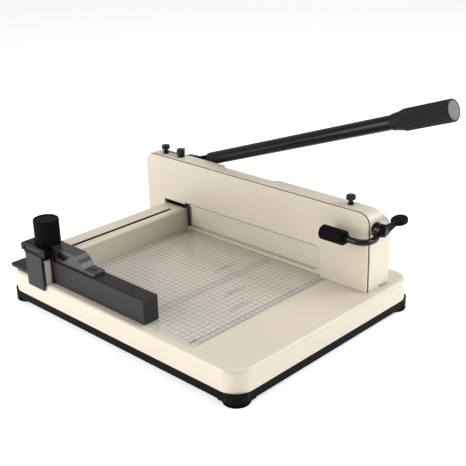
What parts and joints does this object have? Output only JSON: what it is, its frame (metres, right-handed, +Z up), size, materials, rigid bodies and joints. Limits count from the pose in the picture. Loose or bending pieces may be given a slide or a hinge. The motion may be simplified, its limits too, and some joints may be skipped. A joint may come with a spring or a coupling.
{
  "type": "guillotine paper cutter",
  "caption": "Lever-action guillotine cutter for stacks of paper, with a ruled table, side fence, sliding back gauge and geared clamp.",
  "frame": {"origin": "on the floor, under the middle of the base", "axes": "+Z up; +X along the blade, towards the lever's grip; +Y from the table's free edge to the blade housing"},
  "size_m": [0.6009, 0.4024, 0.3575],
  "materials": {
    "painted_steel": "semi-gloss cream powder coat",
    "table_print": "printed grid film",
    "black_plastic": "black, moulded",
    "rubber": "black, matt",
    "grey_plastic": "grey, moulded",
    "stick_plastic": "off-white",
    "zinc_steel": "zinc plated",
    "cast_iron": "primed",
    "bronze": "sintered bronze",
    "bright_steel": "turned, oiled",
    "blade_steel": "ground",
    "carrier_steel": "black oxide",
    "black_paint": "gloss black",
    "cream_beam": "semi-gloss cream",
    "dark_grey_cast": "fine-texture black-grey paint"
  },
  "bodies": {
    "lever": {"lever_arm": "black_paint", "lever_bush": "bronze", "drive_pin": "zinc_steel", "lever_tube": "black_paint", "arm_rivets": "black_paint", "lever_grip": "black_plastic", "grip_end_cap": "grey_plastic"},
    "blade_assembly": {"blade_carrier": "carrier_steel", "blade": "blade_steel", "blade_bolts": "zinc_steel"},
    "clamp": {"clamp_beam": "cream_beam", "clamp_racks": "bright_steel"},
    "drive_shaft": {"drive_shaft": "bright_steel", "drive_gear": "bright_steel", "hub_bolt": "black_paint", "ratchet_wheel": "black_paint"},
    "idler": {"idler_gear": "bright_steel"},
    "clamp_shaft": {"clamp_shaft": "bright_steel", "clamp_gear": "bright_steel", "clamp_pinions": "bright_steel"},
    "clamp_handle": {"clamp_handle_arm": "black_paint", "clamp_grip": "black_plastic"},
    "release_paddle": {"release_paddle": "black_plastic"},
    "back_gauge": {"gauge_saddle": "dark_grey_cast", "gauge_jaw": "dark_grey_cast", "gauge_outer_plate": "dark_grey_cast", "gauge_bar": "dark_grey_cast", "gauge_bracket": "dark_grey_cast", "bracket_screw": "dark_grey_cast", "gauge_nut": "zinc_steel"},
    "gauge_knob": {"gauge_knob": "black_plastic", "gauge_clamp_screw": "zinc_steel"},
    "thumbscrew_left": {"thumbscrew_left": "black_paint"},
    "thumbscrew_right": {"thumbscrew_right": "black_paint"},
    "lock_pin": {"lock_pin": "black_paint"},
    "base": {"base_shell": "painted_steel", "fence_rail": "painted_steel", "front_plate": "painted_steel", "rear_shell": "painted_steel", "table_sheet": "table_print", "base_rim": "black_plastic", "fence_end_cap": "black_plastic", "corner_feet": "rubber", "cutting_stick": "stick_plastic", "foot_screws": "zinc_steel", "fence_screws": "zinc_steel", "post_bolts": "zinc_steel", "frame_bolts": "zinc_steel", "guide_bolts": "zinc_steel", "pivot_nut": "zinc_steel", "pivot_bolt": "zinc_steel", "bottom_cover": "zinc_steel", "fence_blocks": "zinc_steel", "left_post": "cast_iron", "right_post": "cast_iron", "rear_frame": "cast_iron", "shaft_bushes": "bronze", "idler_pin": "bright_steel", "pin_strap": "black_paint", "lock_pin_boss": "black_paint"}
  },
  "joints": [
    {"name": "lever_hinge", "type": "hinge", "parent": "base", "child": "lever", "pos_m": [-0.18, 0.1426, 0.1425], "axis": [0, -1, 0], "range_deg": [-14, 46]},
    {"name": "blade_slide", "type": "slide", "parent": "base", "child": "blade_assembly", "axis": [-0.342, 0, 0.9397], "range_m": [-0.0116, 0.0377]},
    {"name": "clamp_slide", "type": "slide", "parent": "base", "child": "clamp", "axis": [0, 0, 1], "range_m": [-0.0008, 0.041]},
    {"name": "drive_turn", "type": "hinge", "parent": "base", "child": "drive_shaft", "pos_m": [0.191, 0.114, 0.155], "axis": [1, 0, 0], "range_deg": [-315, 7]},
    {"name": "idler_turn", "type": "hinge", "parent": "base", "child": "idler", "pos_m": [0.191, 0.114, 0.135], "axis": [1, 0, 0], "range_deg": [-7, 315]},
    {"name": "clamp_shaft_turn", "type": "hinge", "parent": "base", "child": "clamp_shaft", "pos_m": [0.191, 0.114, 0.115], "axis": [1, 0, 0], "range_deg": [-315, 7]},
    {"name": "clamp_handle_ratchet", "type": "hinge", "parent": "base", "child": "clamp_handle", "pos_m": [0.2495, 0.114, 0.155], "axis": [1, 0, 0], "range_deg": [-45, 28]},
    {"name": "release_press", "type": "hinge", "parent": "clamp_handle", "child": "release_paddle", "pos_m": [0.2555, 0.114, 0.155], "axis": [1, 0, 0], "range_deg": [-14, 0], "stiffness_Nm_per_rad": 0.15, "springref_deg": 6.88},
    {"name": "gauge_slide", "type": "slide", "parent": "base", "child": "back_gauge", "axis": [0, 1, 0], "range_m": [0, 0.25]},
    {"name": "gauge_knob_turn", "type": "hinge", "parent": "back_gauge", "child": "gauge_knob", "pos_m": [-0.168, -0.176, 0.1345], "axis": [0, 0, 1], "range_deg": [0, 360]},
    {"name": "thumbscrew_left_turn", "type": "hinge", "parent": "base", "child": "thumbscrew_left", "pos_m": [-0.209, 0.1145, 0.1805], "axis": [0, 0, 1], "continuous": true},
    {"name": "thumbscrew_right_turn", "type": "hinge", "parent": "base", "child": "thumbscrew_right", "pos_m": [0.193, 0.118, 0.1805], "axis": [0, 0, 1], "continuous": true},
    {"name": "lock_pin_lift", "type": "slide", "parent": "base", "child": "lock_pin", "axis": [0, 0, 1], "range_m": [0, 0.012]}
  ],
  "couplings": [
    {"joint": "blade_slide", "follows": "lever_hinge", "m_per_rad": 0.04672},
    {"joint": "drive_turn", "follows": "clamp_slide", "rad_per_m": -133.33},
    {"joint": "idler_turn", "follows": "clamp_slide", "rad_per_m": 133.33},
    {"joint": "clamp_shaft_turn", "follows": "clamp_slide", "rad_per_m": -133.33}
  ]
}
